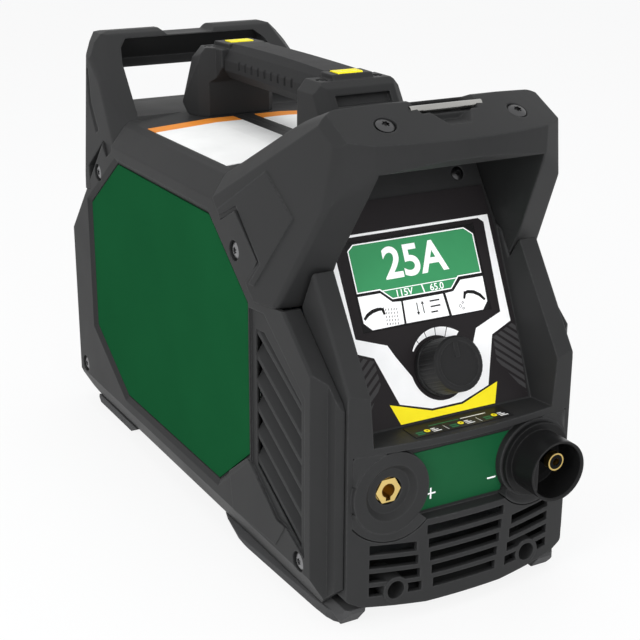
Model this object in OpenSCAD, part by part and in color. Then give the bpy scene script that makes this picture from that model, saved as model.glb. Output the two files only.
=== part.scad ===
// Portable plasma cutting power source.
// Millimetres. +Z is up, the control face looks along -Y, +X is the right hand
// side seen from the front. The origin is the middle of the footprint on the floor.

/* [Casing] */
// Half width over the flat casing sides
side_x = 95; // [80:0.5:110]
// Half width over the crease above the upper bevel
crease_x = 85; // [70:0.1:105]
// Height of that crease
crease_z = 255; // [220:1:300]
// Height of the flat top of the casing
top_z = 260.3; // [220:0.1:310]
// Height where the upper bevel meets the side
bevel_z = 240.2; // [190:0.1:290]
// Height where the lower bevel meets the side
low_z = 29.2; // [15:0.1:40]
// Height of the underside above the floor
under_z = 6.5; // [2:0.5:12]
// Wall thickness of the mouldings
wall = 3; // [2:0.1:5]
// Rearmost point of the casing
rear_y = 233.7; // [200:0.1:260]
// Clearance between neighbouring mouldings
seam = 0.3; // [0.1:0.05:1]

/* [Side panels] */
// Depth of the green panel below the casing side
inlay_depth = 3.5; // [1:0.1:6]
// Width of the sloping wall around the green panel
inlay_slope = 5; // [1:0.1:10]
// Thickness of the green inlay sheet
inlay_t = 1.2; // [0.6:0.1:3]
// Number of slats in each side louvre
louvre_count = 6; // [3:1:9]
// Vertical distance from slat to slat
louvre_pitch = 17.7; // [10:0.1:30]

/* [Hood and hoop] */
// Height of the top of the hood
hood_top_z = 315.4; // [280:0.1:340]
// Half width of the hood opening at its top
opening_top_x = 58; // [40:0.5:75]
// Half width of the hood opening at its foot
opening_low_x = 66.5; // [50:0.5:80]
// Diameter of the steel rod in the hood notch
rod_d = 5; // [3:0.5:8]
// Length of the steel rod
rod_l = 50; // [40:1:90]
// Half width of the window through the rear hoop
window_x = 54; // [30:0.5:60]

/* [Control face] */
// Lean of the control face away from the vertical, degrees
panel_tilt = 25.35; // [10:0.05:40]
// Width of the display glass
display_w = 95; // [60:0.5:120]
// Height of the display glass
display_h = 56; // [30:0.5:80]
// Distance of the knob axis below the display centre
knob_drop = 57.5; // [45:0.5:70]
// Diameter of the knob at its foot
knob_d = 36; // [20:0.5:50]
// Height of the knob
knob_h = 22.3; // [12:0.1:35]
// Travel of the push knob
knob_travel = 1.2; // [0.5:0.1:3]
// Thickness of the control overlay
overlay_t = 0.8; // [0.3:0.1:2]

/* [Connectors] */
// Distance of each socket from the middle
socket_x = 53; // [35:0.5:70]
// Height of both sockets above the floor
socket_z = 89.4; // [60:0.1:120]
// Bore of the work-lead socket
work_bore_d = 9; // [6:0.1:14]
// Outside diameter of the torch receptacle collar
torch_d = 40; // [25:0.5:50]
// Bore of the torch receptacle collar
torch_bore_d = 36; // [20:0.5:46]
// Foremost point of the torch receptacle
torch_y = -233.7; // [-260:0.1:-215]

/* [Handle] */
// Half width of the front handle post
post_x = 32.3; // [20:0.1:40]
// Height of the post tops
post_z = 312; // [290:0.5:340]
// Height of the grip at its middle
grip_z = 316.6; // [290:0.1:350]
// Width of the grip
grip_w = 38; // [28:0.5:50]

/* [Inside] */
// Frame size of the cooling fan
fan_size = 92; // [60:1:120]
// Number of fan blades
blade_count = 7; // [3:1:11]
// Diameter of the fan shaft
fan_shaft_d = 4; // [2:0.1:8]
// Number of fins on each heatsink
fin_count = 9; // [4:1:14]
// Number of bulk capacitors
cap_count = 3; // [1:1:6]

/* [Hidden] */
$fn = 48;
big = 500;
arc_r = 420;
arc_front = -213.5;
panel_mid = [0, -152, 200.7];
boss_r = 26.5;
pocket_r = 32.3;
pocket_y = -204.5;
ledge_z = 121;
fan_at = [-30, 201.2, 118];
rear_panel_y = 214;

// Section of the casing across the width, counter-clockwise in X and Z.
case_section = [
  [-83, under_z], [83, under_z], [side_x, low_z], [side_x, bevel_z],
  [crease_x, crease_z], [80, crease_z + 2.4], [30, top_z], [-30, top_z],
  [-80, crease_z + 2.4], [-crease_x, crease_z],
  [-side_x, bevel_z], [-side_x, low_z]
];
// Outline of the casing from the side, counter-clockwise in Y and Z.
case_profile = [
  [-178, under_z], [208, under_z], [219, 11], [rear_y, 40], [rear_y, 142],
  [229, 159], [212, 194], [190, 280], [-130, 280], [-149.5, 193],
  [-200, 151], [-203, 146], [-203, 29]
];
// Half outline of the casing from above, with the bumper edge at the front.
case_plan = [
  [-1, -203.2], [84.5, -203.2], [86.7, -199.5], [86.7, -190.3], [side_x, -183.4],
  [side_x, 220.8], [84, rear_y], [-1, rear_y]
];
// Outline of the hood from the side. The lower rear steps follow the casing tab.
hood_profile = [
  [-116.8, 189.5], [-104.5, 198.5], [-116.7, 215], [-85.7, 240.1],
  [-65.8, 229.8], [-59.7, 235.1], [-54.2, bevel_z], [-52.4, crease_z],
  [-142, 306.5], [-166.5, hood_top_z], [-171, hood_top_z], [-204, 298], [-204, 287.5],
  [-196, 281.5], [-149.5, 193]
];
// Outline of the rear hoop from the side.
hoop_profile = [
  [173.8, 197], [185, 194.6], [212, 194.6], [212, 311.6], [209, 314.8],
  [197, 315.4], [190, 313.3], [121.2, crease_z], [125.3, 235.8],
  [136.2, 229.6], [146.1, 240.5], [175.8, 215.3]
];
// Green panel corners in Y and Z.
inlay_profile = [
  [-98.7, 78.5], [-51.5, 41.2], [115.9, 41.2], [178.1, 81],
  [178.1, 184.4], [117.4, 227.3], [-43.5, 227.3], [-98.7, 182.5]
];
// Louvre opening and the shallow step around it, in Y and Z.
louvre_profile = [
  [-170.6, 43.7], [-111.3, 76.2], [-111.3, 169.7], [-122.6, 170.7],
  [-170.6, 141.3]
];
louvre_step = [
  [-177, 40], [-152.4, 50.5], [-140.8, 50.5], [-104.5, 75.5], [-104.5, 182],
  [-125, 184], [-177, 147]
];
// Fascia from the side: lower box, leaning face and leaning pillar fronts.
fascia_profile = [
  [-216, 6], [-160, 6], [-160, 117], [-187, 117], [-109.3, 281],
  [-113.9, 281], [-161.3, 221.5], [-206.2, 155], [-216, 140.5]
];

hood_side_p = [-side_x, -149.5, 193];
hood_side_n = [-0.988, -0.069, 0.139];
hood_bevel_p = [-crease_x, -52.4, crease_z];
hood_bevel_n = [-0.801, 0.209, 0.560];
hood_corner_a = [[-68.6, -172.7, 311.4], [-0.454, -0.413, 0.789]];
hood_corner_b = [[-74.8, -170.3, 306.8], [-0.809, -0.271, 0.521]];
hood_sweep = [[-60, -194.9, 0], [-10.5, -18.9, 0]];
wing_sweep = [[-60.7, -183.4, 257.6], [-0.2, -0.885, -0.465]];
facet_n = [-453.6, 396, 361.9];
hoop_side_p = [-side_x, 190, 215];
hoop_side_n = [-0.995, 0, 0.1];
hoop_bevel = [[-86.5, 145.8, 270.1], [-0.845, -0.355, 0.401]];
hoop_corner = [[-78.9, 166.8, 293.8], [-0.611, -0.398, 0.685]];

side_screw_at = [[-84.7, 213.8], [155.8, 213.6], [-168.7, 34.3], [207.3, 37.1]];
hood_screw_at = [-46.1, -183, 307.6];
handle_screw_at = [[-20.2, -64.1], [-20.2, 107]];
insert_at = [-60.3, 97.5];
recess_screw_at = [44.8, 61.5];
fan_screw_pitch = 82.5;
rear_x = 52.7;

function unit(v) = v / norm(v);

// Outline grown by d on every side; the points run counter-clockwise.
function grown(p, d) = [
  for (i = [0 : len(p) - 1])
    let (
      a = p[(i + len(p) - 1) % len(p)], c = p[(i + 1) % len(p)],
      u = unit(p[i] - a), v = unit(c - p[i]),
      nu = [u.y, -u.x], nv = [v.y, -v.x]
    )
    p[i] + d * (nu + nv) / (1 + nu * nv)
];

module prism_x(outline, x0, x1) {
  translate([x0, 0, 0]) rotate([90, 0, 90])
    linear_extrude(x1 - x0) polygon(outline);
}

module prism_y(outline, y0, y1) {
  translate([0, y1, 0]) rotate([90, 0, 0])
    linear_extrude(y1 - y0) polygon(outline);
}

// Everything beyond the plane through p with outward direction n.
module beyond(p, n) {
  translate(p)
    rotate([0, acos(n.z / norm(n)), atan2(n.y, n.x)])
      translate([-big, -big, 0]) cube([2 * big, 2 * big, big]);
}

module both_sides() {
  children();
  mirror([1, 0, 0]) children();
}

// Left hand side on -X or its mirror image on +X.
module on_side(s) {
  mirror([s > 0 ? 1 : 0, 0, 0]) children();
}

// Frame of the control face: X across, Y up the slope, Z out of the face.
module on_panel(x = 0, y = 0, z = 0) {
  translate(panel_mid) rotate([90 - panel_tilt, 0, 0]) translate([x, y, z]) children();
}

module along_y(y0, y1, d, d2 = -1) {
  translate([0, y0, 0]) rotate([-90, 0, 0])
    cylinder(h = y1 - y0, d1 = d, d2 = d2 < 0 ? d : d2);
}

// Six lobed drive recess, pointing into -Z from the origin.
module torx_recess(d, depth) {
  translate([0, 0, -depth]) union() {
    cylinder(h = depth + 1, d = d * 0.72, $fn = 24);
    for (i = [0 : 2])
      rotate([0, 0, i * 60]) translate([-d / 2, -d * 0.14, 0])
        cube([d, d * 0.28, depth + 1]);
  }
}

// Pan head screw with its head top at the origin and its shank along -Z.
module pan_screw(d = 11.5, h = 2.8, shank_d = 4, shank = 14) {
  difference() {
    union() {
      intersection() {
        translate([0, 0, -h]) cylinder(h = h, d = d, $fn = 40);
        translate([0, 0, -d * 0.95]) sphere(r = d * 0.95, $fn = 64);
      }
      translate([0, 0, -h - shank]) cylinder(h = shank + 0.2, d = shank_d, $fn = 24);
    }
    torx_recess(d * 0.42, 1.8);
  }
}

// Round recess for a screw head, with the shank hole behind it.
module screw_pocket(d = 13.6, h = 3, hole = 4.4, depth = 40) {
  translate([0, 0, -h]) cylinder(h = h + 20, d = d, $fn = 40);
  translate([0, 0, -depth]) cylinder(h = depth, d = hole, $fn = 24);
}

// Layer of thickness t just inside the plane through p with outward direction n,
// or just outside it when t is negative.
module skin(p, n, t) {
  difference() {
    beyond(p - max(t, 0) * unit(n), n);
    beyond(p - min(t, 0) * unit(n), n);
  }
}

// ---------------------------------------------------------------- casing

module case_outer() {
  difference() {
    intersection() {
      prism_y(case_section, -240, 240);
      prism_x(case_profile, -side_x - 1, side_x + 1);
      mirror([1, 0, 0]) linear_extrude(400) polygon(case_plan);
    }
    beyond([-side_x, 216.4, 159], facet_n);
  }
}

// Hollow of one half: the long cavity, the front mouth and the rear window.
module case_inner() {
  difference() {
    intersection() {
      prism_y(grown(case_section, -wall), -160, 217.3);
      prism_x(grown(case_profile, -wall), -side_x, side_x);
    }
    beyond([-side_x, 216.4, 159] - wall * unit(facet_n), facet_n);
  }
  prism_x([[-240, -10], [-159, -10], [-159, 140], [-122, 222], [-122, 300], [-240, 300]],
    -82.4, 7.6);
  prism_y([[-80, 34], [-74, 24], [5, 24], [5, 166], [-74, 166], [-80, 158]], 210, 240);
}

// Green panel recess with sloping walls, for the left side.
module inlay_recess() {
  hull() {
    prism_x(grown(inlay_profile, inlay_slope), -side_x - 0.2, -side_x);
    prism_x(grown(inlay_profile, 0.15), -side_x + inlay_depth - 0.1,
      -side_x + inlay_depth);
  }
}

// Flat floor behind the green panel, so that the wall stays closed.
module inlay_backing() {
  prism_x(grown(inlay_profile, 9), -side_x + inlay_depth, -side_x + inlay_depth + 2.5);
}

module louvre_slats() {
  intersection() {
    for (i = [0 : louvre_count])
      translate([-side_x + 2.8, -133, 71 + (i - 1.1) * louvre_pitch])
        rotate([28.7, 0, 0]) rotate([0, 38, 0])
          translate([-1.1, -50, -2]) cube([2.2, 100, 15.5]);
    prism_x(grown(louvre_profile, 0.6), -side_x + 2.2, -side_x + 16);
  }
}

// Raised facet under the louvre and the green panel.
module lower_facet() {
  prism_x([[-152.3, 50.5], [-139.2, 31.9], [-77.7, 29.5], [-72.9, 56.2],
    [-100.8, 77.2], [-140.8, 50.5]], -side_x - 0.6, -side_x + 0.1);
}

module casing(s) {
  on_side(s) difference() {
    union() {
      difference() {
        union() {
          case_outer();
          lower_facet();
        }
        case_inner();
        translate([-seam / 2, -big / 2, -10]) cube(big);
        inlay_recess();
        prism_x(louvre_step, -side_x - 5, -side_x + 1.6);
        prism_x(louvre_profile, -side_x - 5, -side_x + 20);
        translate([-56, -150, -1]) cube([60, 330, 20]);
      }
      inlay_backing();
      louvre_slats();
      for (p = side_screw_at)
        translate([-side_x + 2, p.x, p.y]) rotate([0, 90, 0]) cylinder(h = 10.4, d = 17);
    }
    prism_x(grown(hood_profile, seam), -120, 120);
    prism_x(grown(hoop_profile, seam), -120, 120);
    prism_x(fascia_profile, -82.4, 5);
    for (p = side_screw_at)
      translate([-side_x, p.x, p.y]) rotate([0, -90, 0]) screw_pocket(depth = 30);
  }
}

module left_casing() {
  color([0.20, 0.20, 0.21]) casing(-1);
}

module right_casing() {
  color([0.20, 0.20, 0.21]) casing(1);
}

module inlay(s) {
  on_side(s)
    prism_x(grown(inlay_profile, -0.1), -side_x + inlay_depth - inlay_t,
      -side_x + inlay_depth - 0.05);
}

module left_panel() {
  color([0.09, 0.33, 0.18]) inlay(-1);
}

module right_panel() {
  color([0.09, 0.33, 0.18]) inlay(1);
}

// ---------------------------------------------------------------- hood

module hood_outer() {
  difference() {
    intersection() {
      prism_x(hood_profile, -side_x - 4, side_x + 4);
      translate([0, 22, 0]) rotate_extrude($fn = 180)
        polygon([[0, 150], [225, 150], [225, 298.2], [193, hood_top_z], [0, hood_top_z]]);
    }
    both_sides() {
      beyond(hood_side_p, hood_side_n);
      beyond(hood_bevel_p, hood_bevel_n);
      for (c = [hood_corner_a, hood_corner_b, hood_sweep, wing_sweep])
        beyond(c[0], c[1]);
    }
  }
}

// Raised pad on each wing, following the casing tab.
module hood_pad() {
  intersection() {
    prism_x([[-116, 199.5], [-149.2, 248.8], [-113.5, 270.1], [-62.6, 235.8],
      [-65.5, 232.6], [-84.6, 243], [-120.2, 214.4], [-109.5, 199.3]], -120, -60);
    skin(hood_side_p, hood_side_n, -0.9);
    difference() {
      translate([-120, -300, 0]) cube([120, 300, 400]);
      beyond(hood_bevel_p - 0.4 * hood_bevel_n, hood_bevel_n);
    }
  }
}

// Opening of the hood across the width, in X and Z.
hood_mouth = [
  [-opening_low_x, 150], [opening_low_x, 150], [opening_low_x, 223],
  [opening_top_x, 281.5], [-opening_top_x, 281.5], [-opening_low_x, 223]
];

module hood_tunnel() {
  intersection() {
    prism_y(hood_mouth, -240, -20);
    prism_x([[-240, 150], [-50, 150], [-50, 250.1], [-103.9, 281.5], [-240, 281.5]],
      -80, 80);
  }
}

// Trapezoid notch in the top bar, open to the top and front.
module hood_notch() {
  prism_y([[-7.5, 304.5], [7.5, 304.5], [24, 318], [-24, 318]], -215, -178);
  prism_y([[-19, 308.5], [19, 308.5], [24, 318], [-24, 318]], -180, -160);
}

// Hollow of each wing, open towards the inside of the casing.
module wing_hollow() {
  prism_x([[-142, 150], [-60, 150], [-60, 228], [-100, 256], [-146, 226],
    [-142, 200]], -86, -72);
}

module front_hood() {
  color([0.19, 0.19, 0.20]) difference() {
    union() {
      hood_outer();
      both_sides() hood_pad();
    }
    hood_tunnel();
    hood_notch();
    both_sides() {
      wing_hollow();
      translate(hood_screw_at) rotate([27.7, 0, 0]) screw_pocket(depth = 20);
    }
    translate([0, -173.8, 311.2]) rotate([0, 90, 0])
      cylinder(h = rod_l + 0.4, d = rod_d + 0.1, center = true, $fn = 32);
  }
}

module hood_rod() {
  color([0.75, 0.74, 0.70]) translate([0, -173.8, 311.2]) rotate([0, 90, 0])
    cylinder(h = rod_l, d = rod_d, center = true, $fn = 32);
}

// ---------------------------------------------------------------- rear hoop

// Strip groove up each arm of the hoop.
module hoop_groove() {
  intersection() {
    prism_x([[158, 246], [163, 243], [181, 262], [192, 289], [187, 289],
      [177, 265]], -100, -70);
    skin(hoop_side_p, hoop_side_n, 1);
  }
}

// Front recess of the hoop, with a slanting lip along the head of the window.
module hoop_recess() {
  intersection() {
    prism_x([[100, top_z + 0.3], [150, 259.6], [204, 258.3], [204, 280], [198.5, 286],
      [204, 292], [188, 309.8], [100, 309.8]], -75, 75);
    prism_y([[-72.1, 255], [72.1, 255], [66.4, 294], [62.5, 304], [56, 309.9], [-56, 309.9],
      [-62.5, 304], [-66.4, 294]], 90, 210);
  }
}

module rear_hoop() {
  color([0.19, 0.19, 0.20]) difference() {
    prism_x(hoop_profile, -side_x - 1, side_x + 1);
    both_sides() {
      beyond([-side_x, 0, 0], [-1, 0, 0]);
      beyond(hoop_side_p, hoop_side_n);
      beyond(hoop_bevel[0], hoop_bevel[1]);
      beyond(hoop_corner[0], hoop_corner[1]);
      beyond([-79.4, 0, 308], [-13.2, 0, 8.4]);
      beyond([-76.4, 0, 310.9], [-5.8, 0, 5.9]);
      beyond([-64, 0, 316], [-2.2, 0, 9.5]);
      beyond([-side_x, 184.7, 0], [-28.5, 24.9, 0]);
      hoop_groove();
    }
    hoop_recess();
    translate([-window_x, 190, 256.5]) cube([2 * window_x, 40, 29]);
    difference() {
      prism_x([[100, 150], [208.5, 150], [208.5, 252], [150, 255], [100, 250]], -85, 85);
      both_sides() beyond([-side_x, 179, 0], [-28.5, 24.9, 0]);
    }
    prism_y([[-19.8, 310.5], [19.8, 310.5], [25.8, 318], [-25.8, 318]], 150, 230);
  }
}

// ---------------------------------------------------------------- fascia

// Wall of the display recess: everything between the two drafted side walls.
module recess_space() {
  difference() {
    translate([-90, -260, ledge_z]) cube([180, 200, 200]);
    both_sides() beyond([-68.15, -184, 188.5], [-0.989, 0.121, -0.080]);
    translate(panel_mid) rotate([90 - panel_tilt, 0, 0])
      translate([-100, -200, -100]) cube([200, 400, 100]);
  }
}

module connector_pocket() {
  difference() {
    union() {
      intersection() {
        union() {
          both_sides() translate([-socket_x, 0, socket_z])
            along_y(-240, pocket_y, 2 * pocket_r);
          translate([-socket_x, -240, 67.5])
            cube([2 * socket_x, 240 + pocket_y, 49]);
        }
        translate([-78.5, -240, 50]) cube([157, 60, 66.5]);
      }
      translate([-78.5, -240, socket_z]) cube([157, 240 + pocket_y, 116.5 - socket_z]);
    }
    both_sides() translate([-socket_x, 0, socket_z]) along_y(-209.5, -200, 2 * boss_r);
  }
}

// One slot of the grille from xa to xb, with slanting ends and a slanting run.
module slot(xa, za, xb, zb, h) {
  prism_y([[xa, za], [xb, zb], [xb, zb + h], [xa, za + h]], -225, -190);
}

module grille() {
  both_sides() difference() {
    for (i = [0 : 3])
      slot(-67.3, 22.1 + 9.5 * i, -31.5 - 1.37 * i, 19.3 + 9.4 * i, 6.4);
    translate([-49.6, 0, 23.6]) along_y(-230, -180, 17.5);
  }
  for (i = [0 : 4])
    slot(-23.6 - 1.28 * i, 19.5 + 9.35 * i, 23.6 + 1.28 * i, 19.5 + 9.35 * i, 6.3);
  both_sides() translate([-49.6, 0, 23.6]) along_y(-230, -180, 12);
}

module front_fascia() {
  color([0.16, 0.16, 0.17]) difference() {
    union() {
      difference() {
        intersection() {
          prism_x(fascia_profile, -82, 82);
          translate([0, arc_front + arc_r, 0]) cylinder(h = 300, r = arc_r, $fn = 400);
          prism_y([[-82, 21], [-72, 15.6], [-50, 12.8], [-28, 10.3], [28, 10.3],
            [50, 12.8], [72, 15.6], [82, 21], [82, 290], [-82, 290]], -230, -90);
        }
        recess_space();
        connector_pocket();
        difference() {
          prism_y([[-78.5, 25], [-68, 19.5], [-48, 16], [48, 16], [68, 19.5], [78.5, 25],
            [78.5, 117], [-78.5, 117]], -201, -141);
          both_sides() translate([-49.6, 0, 23.6]) along_y(-230, -196, 17.5);
        }
        intersection() {
          translate([-69, -230, 18.6]) cube([138, 60, 45.9]);
          translate([0, arc_front + arc_r, 0]) cylinder(h = 300, r = arc_r - 3.5, $fn = 400);
        }
      }
      both_sides() translate([-socket_x, 0, socket_z]) along_y(-209.5, -198, 2 * boss_r);
      both_sides() translate([-49.6, 0, 23.6]) along_y(-211, -190, 17.5);
    }
    grille();
    both_sides() {
      intersection() {
        prism_x(grown(hood_profile, seam), -100, -opening_low_x + 0.2);
        translate([-100, -260, 150]) cube([100, 260, 200]);
      }
      intersection() {
        beyond([-opening_low_x + 0.4, 0, 223], [-58.5, 0, 8.5]);
        translate([-100, -260, 221.5]) cube([100, 260, 200]);
      }
      translate([-84, -168.7, 34.3]) rotate([0, 90, 0]) cylinder(h = 6, d = 4.4, $fn = 24);
    }
    prism_x([[-225, 21], [-209.5, 21], [-209.5, 22.6], [-225, 22.6]],
      -90, -69);
    translate([-socket_x, 0, socket_z]) {
      along_y(-209.6, -205.5, 36.6, 29);
      along_y(-206, -190, 18.2);
    }
    translate([rear_x, 0, socket_z]) along_y(-212, -190, 31);
    on_panel(-45.5, -26, -8) cube([91, 52, 20]);
    on_panel(-display_w / 2 - 0.2, -display_h / 2 - 0.2, -1.3)
      cube([display_w + 0.4, display_h + 0.4, 5]);
    on_panel(0, -knob_drop, -8) cylinder(h = 20, d = 9.4);
    on_panel(recess_screw_at.x, recess_screw_at.y, 0) cylinder(h = 3, d = 9, center = true);
  }
}

module control_overlay() {
  color([0.10, 0.10, 0.11]) on_panel() difference() {
    linear_extrude(overlay_t) polygon([[-61, -87], [61, -87], [63.2, -50], [63.8, 20],
      [60.5, 52], [-60.5, 52], [-63.8, 20], [-63.2, -50]]);
    translate([-display_w / 2 - 0.2, -display_h / 2 - 0.2, -1])
      cube([display_w + 0.4, display_h + 0.4, 3]);
    translate([0, -knob_drop, -1]) cylinder(h = 3, d = 11);
  }
}

module display_glass() {
  color([0.75, 0.84, 0.78]) on_panel(-display_w / 2, -display_h / 2, -1.25)
    cube([display_w, display_h, 1]);
}

module display_module() {
  color([0.12, 0.30, 0.22]) on_panel() {
    translate([-52, -31, -9]) cube([104, 62, 4.6]);
    translate([-44.5, -25, -4.5]) cube([89, 50, 3.1]);
  }
}

module info_strip() {
  color([0.08, 0.08, 0.09]) prism_x([[-208, ledge_z + 0.05], [-193, ledge_z + 0.05],
    [-193, ledge_z + 0.45], [-208, ledge_z + 0.45]], -36, 36);
}

module connector_label() {
  color([0.09, 0.33, 0.18]) difference() {
    prism_y([[-30.6, 70.1], [30.6, 70.1], [35.6, 109.8], [-35.6, 109.8]],
      pocket_y - 0.5, pocket_y - 0.05);
    both_sides() translate([-socket_x, 0, socket_z])
      along_y(pocket_y - 5, pocket_y + 5, 2 * boss_r + 0.8);
  }
}

// ---------------------------------------------------------------- control

module control_board() {
  color([0.10, 0.34, 0.16]) on_panel() difference() {
    union() {
      translate([-56, -74, -15.6]) cube([112, 122, 1.6]);
      for (x = [-50, -30, 26, 44])
        translate([x, -52, -14.1]) cube([9, 9, 2.6]);
      for (x = [-50, 42])
        translate([x, 34, -14.1]) cube([8, 8, 5]);
    }
    for (x = [-52, 52])
      for (y = [-70, 44])
        translate([x, y, -20]) cylinder(h = 10, d = 3.2);
  }
}

// Rotary encoder fixed to the board, with the bushing through the face.
module encoder_body() {
  color([0.55, 0.56, 0.58]) on_panel(0, -knob_drop) difference() {
    union() {
      translate([-7, -7, -13.9]) cube([14, 14, 8]);
      translate([0, 0, -6]) cylinder(h = 10.5, d = 9, $fn = 40);
    }
    translate([0, 0, -9.5]) cylinder(h = 30, d = 8);
  }
}

// Push sleeve sliding in the bushing; it carries the turning shaft.
module encoder_sleeve() {
  color([0.70, 0.70, 0.72]) on_panel(0, -knob_drop) difference() {
    translate([0, 0, -7.8]) cylinder(h = 14.6, d = 7.9);
    translate([0, 0, -8.8]) cylinder(h = 17, d = 6.1);
  }
}

module encoder_shaft() {
  color([0.80, 0.80, 0.80]) on_panel(0, -knob_drop) difference() {
    union() {
      translate([0, 0, -7.9]) cylinder(h = 24.9, d = 6);
      translate([0, 0, 6.9]) cylinder(h = 1, d = 9);
    }
    translate([1.6, -5, 9]) cube([10, 10, 20]);
  }
}

// Fluted knob with a raised pointer bar, pressed on the shaft.
module control_knob() {
  top = knob_h + overlay_t + 1.5;
  color([0.07, 0.07, 0.08]) on_panel(0, -knob_drop) difference() {
    union() {
      translate([0, 0, overlay_t + 1.5]) cylinder(h = 3, d = knob_d, $fn = 96);
      translate([0, 0, overlay_t + 4]) cylinder(h = knob_h - 3.7, d1 = knob_d - 1, d2 = 34.6,
        $fn = 96);
      translate([0, 0, top - 1.3]) cylinder(h = 1.3, d1 = 34.4, d2 = 31.8, $fn = 96);
    }
    for (i = [0 : 35])
      rotate([0, 0, i * 10]) translate([knob_d / 2 + 0.35, 0, overlay_t + 4.6])
        cylinder(h = knob_h, d = 2.4, $fn = 16);
    translate([0, 0, top - 0.8]) difference() {
      cylinder(h = 2, d = 27, $fn = 64);
      translate([-1.6, 4, -1]) cube([3.2, 12, 4]);
    }
    translate([0, 0, 0]) cylinder(h = 9.5, d = 28);
    difference() {
      translate([0, 0, 0]) cylinder(h = 17.1, d = 6.04);
      translate([1.64, -5, 9.6]) cube([10, 10, 20]);
    }
  }
}

// ---------------------------------------------------------------- sockets

module work_socket() {
  color([0.78, 0.60, 0.27]) translate([-socket_x, 0, socket_z]) difference() {
    union() {
      along_y(-203.4, -182, 16.6);
      rotate([90, 0, 0]) translate([0, 0, 202]) cylinder(h = 3.2, d = 17.7, $fn = 6);
      along_y(-182, -176, 10);
    }
    along_y(-206, -186, work_bore_d);
    translate([-1.6, -206, -6.6]) cube([3.2, 16, 6.2]);
  }
}

module torch_collar() {
  color([0.07, 0.07, 0.08]) translate([rear_x, 0, socket_z]) difference() {
    union() {
      along_y(torch_y, -209.8, torch_d);
      along_y(-213, -209.8, 49);
      along_y(-210, -198, 30.6);
    }
    intersection() {
      along_y(torch_y - 1, -211.5, torch_bore_d);
      translate([-14.8, -240, -30]) cube([60, 40, 60]);
    }
    along_y(torch_y - 0.01, torch_y + 1, torch_bore_d + 2, torch_bore_d);
    along_y(-214, -190, 25);
  }
}

module torch_insulator() {
  color([0.13, 0.13, 0.14]) difference() {
    union() {
      translate([rear_x, 0, socket_z]) along_y(-213, -188, 24.6);
      translate([rear_x, 0, 95]) along_y(-226, -212, 9.9);
    }
    translate([rear_x, 0, 95]) along_y(-240, -180, 8.2);
    for (a = [0, 72, 144, 216, 288])
      translate([rear_x, 0, socket_z]) rotate([0, a, 0])
        translate([0, 0, -8.4]) along_y(-214, -206, 3.2);
  }
}

module torch_contact() {
  color([0.80, 0.62, 0.28]) translate([rear_x, 0, 95]) difference() {
    union() {
      along_y(-226.2, -176, 8);
      along_y(-231, -226.1, 11.6);
    }
    along_y(-232, -218, 5);
    along_y(-225, -170, 3.5);
  }
}

module terminal_block() {
  color([0.62, 0.60, 0.55]) difference() {
    union() {
      translate([-70, -175.8, 72]) cube([34, 12, 34]);
      translate([-66, -164, 76]) cube([26, 5, 10]);
    }
    translate([-socket_x, 0, socket_z]) along_y(-176, -170, 6);
    for (z = [77, 101])
      translate([-40, 0, z]) along_y(-178, -158, 3.4);
  }
}

// ---------------------------------------------------------------- base and rear

module base_tray() {
  color([0.60, 0.61, 0.62]) difference() {
    union() {
      translate([-74, -154, 9.8]) cube([148, 357, 1.5]);
      for (x = [-74, 72.5])
        translate([x, -154, 9.8]) cube([1.5, 357, 12]);
      for (x = [-62, 62])
        for (y = [-120, 150])
          translate([x, y, 11]) cylinder(h = 9, d = 8, $fn = 6);
    }
    for (i = [0 : 7])
      for (x = [-36, 6])
        translate([x, -120 + 14 * i, 5]) cube([30, 5, 10]);
  }
}

module rear_panel() {
  color([0.58, 0.59, 0.60]) difference() {
    prism_y([[-90.5, 33], [-81, 16], [81, 16], [90.5, 33], [90.5, 153], [77, 169],
      [-77, 169], [-90.5, 153]],
      rear_panel_y, rear_panel_y + 3);
    intersection() {
      for (i = [0 : 9])
        translate([fan_at.x - 50, 200, fan_at.z - 41.5 + 8.8 * i]) cube([100, 30, 5]);
      translate([fan_at.x, 0, fan_at.z]) along_y(200, 230, 86);
    }
    for (x = [-1, 1])
      for (z = [-1, 1])
        translate([fan_at.x + x * fan_screw_pitch / 2, 0, fan_at.z + z * fan_screw_pitch / 2])
          along_y(200, 230, 4.4);
    translate([rear_x, 0, 45]) along_y(200, 230, 20.4);
    translate([rear_x, 0, 95]) along_y(200, 230, 14.4);
    translate([rear_x - 13, 200, 128]) cube([26, 30, 28]);
    both_sides() translate([-100, side_screw_at[3].x, side_screw_at[3].y])
      rotate([0, 90, 0]) cylinder(h = 18, d = 18);
  }
}

// Four feet: long skids with swept corners at the front, short ones at the back.
module feet() {
  color([0.06, 0.06, 0.06]) both_sides() difference() {
    union() {
      intersection() {
        prism_x([[-197.5, 6.45], [-194, 0], [-80, 0], [-39.5, 6.45]], -90, -60);
        prism_y([[-66.5, 6.45], [-67.3, 0], [-87.5, 0], [-88, 0.8], [-88, 3.6],
          [-83.2, 6.45]], -210, -30);
        mirror([1, 0, 0]) linear_extrude(20, center = true) polygon([[88, -70],
          [84.9, -155], [84.2, -172], [83.2, -184], [81.4, -190.5], [77.4, -196],
          [66, -197.5], [60, -197.5], [60, -30], [83.2, -30]]);
      }
      intersection() {
        prism_x([[-195.6, 0], [-202.8, 9.4], [-202.8, 12.4], [-165, 12.4], [-165, 0]],
          -90, -60);
        prism_y([[-66.2, 12.4], [-67.3, 0], [-79.5, 0], [-82.1, 6], [-79.5, 12.4]],
          -210, -160);
        mirror([1, 0, 0]) linear_extrude(30, center = true) polygon([[83, -160],
          [83, -190], [80.5, -200], [77, -203], [60, -203], [60, -160]]);
      }
      prism_x([[123, 6.45], [136, 0], [205, 0], [209, 3.5], [208, 6.45]], -84.5, -66);
    }
    for (y = [-160, 168])
      translate([-75, y, -1]) cylinder(h = 4, d = 9);
  }
}

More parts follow.
